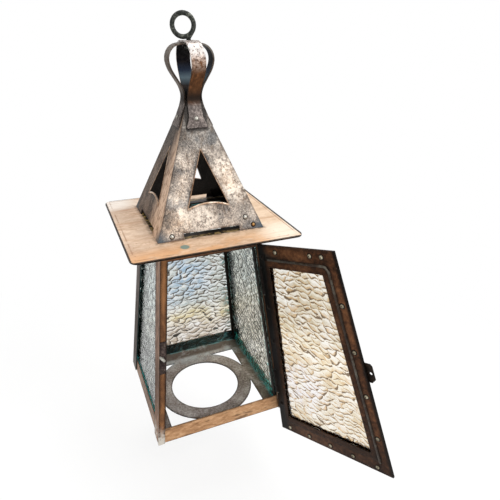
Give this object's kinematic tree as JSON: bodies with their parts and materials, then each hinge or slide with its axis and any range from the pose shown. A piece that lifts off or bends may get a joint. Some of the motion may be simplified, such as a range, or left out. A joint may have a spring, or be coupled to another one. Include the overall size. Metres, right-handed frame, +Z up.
{
  "type": "hanging copper lantern",
  "caption": "Tapered square copper lantern with textured glass, a hinged front door, an overhanging roof, a pierced vent pyramid, crossed straps and a ring eye to hang it by.",
  "frame": {"origin": "on the lantern's upright axis, level with the top of the hole in the ring eye, where the hook bears", "axes": "+Z up along the lantern's axis, -Y out of the front with the door, +X to the right seen from the front"},
  "size_m": [0.2099, 0.294, 0.4423],
  "materials": {
    "copper_brown": "aged brown copper sheet, worn",
    "copper_dark": "dark crusted copper sheet",
    "copper_patina": "grey-pink mottled copper patina",
    "copper_roof": "pale brushed copper",
    "rivet_metal": "dull grey rivet metal",
    "iron": "rough dark forged iron",
    "textured_glass": "clear hammered rolled glass"
  },
  "bodies": {
    "lantern_body": {"base_rail_front": "copper_brown", "top_rail_front": "copper_dark", "base_rail_right": "copper_brown", "top_rail_right": "copper_dark", "base_rail_back": "copper_brown", "top_rail_back": "copper_dark", "base_rail_left": "copper_brown", "top_rail_left": "copper_dark", "post_front_left": "copper_brown", "post_front_right": "copper_brown", "post_back_left": "copper_brown", "post_back_right": "copper_brown", "lamp_ring_plate": "copper_patina", "glass_left": "textured_glass", "glass_right": "textured_glass", "glass_back": "textured_glass", "glazing_bead_front_left": "copper_dark", "glazing_bead_front_right": "copper_dark", "glazing_bead_back_left": "copper_dark", "glazing_bead_back_right": "copper_dark", "roof_plate": "copper_roof", "vent_pyramid": "copper_patina", "pyramid_cleat_front_left": "copper_dark", "pyramid_cleat_front_right": "copper_dark", "pyramid_cleat_back_left": "copper_dark", "pyramid_cleat_back_right": "copper_dark", "strap_front_back": "copper_brown", "strap_left_right": "copper_brown", "strap_rivet_front": "rivet_metal", "strap_rivet_right": "rivet_metal", "strap_rivet_back": "rivet_metal", "strap_rivet_left": "rivet_metal", "eye_washer": "copper_dark", "catch_plate": "copper_dark", "hinge_post_leaf_upper": "copper_brown", "hinge_pin_upper": "rivet_metal", "hinge_post_leaf_lower": "copper_brown", "hinge_pin_lower": "rivet_metal"},
    "door": {"door_frame": "copper_brown", "door_retainer": "copper_dark", "door_glass": "textured_glass", "hinge_door_leaf_upper": "copper_brown", "hinge_door_leaf_lower": "copper_brown", "hasp_plate": "copper_patina"},
    "turn_button": {"turn_button": "rivet_metal"},
    "hanging_eye": {"hanging_eye": "iron"}
  },
  "joints": [
    {"name": "door_hinge", "type": "hinge", "parent": "lantern_body", "child": "door", "pos_m": [0.0692, -0.0784, -0.4131], "axis": [-0.1092, 0.1092, 0.988], "range_deg": [-113, 60]},
    {"name": "button_turn", "type": "hinge", "parent": "lantern_body", "child": "turn_button", "pos_m": [-0.0601, -0.0634, -0.3081], "axis": [0, -0.9939, 0.1098], "continuous": true},
    {"name": "eye_swivel", "type": "hinge", "parent": "lantern_body", "child": "hanging_eye", "pos_m": [0, 0, 0], "axis": [0, 0, 1], "continuous": true}
  ]
}
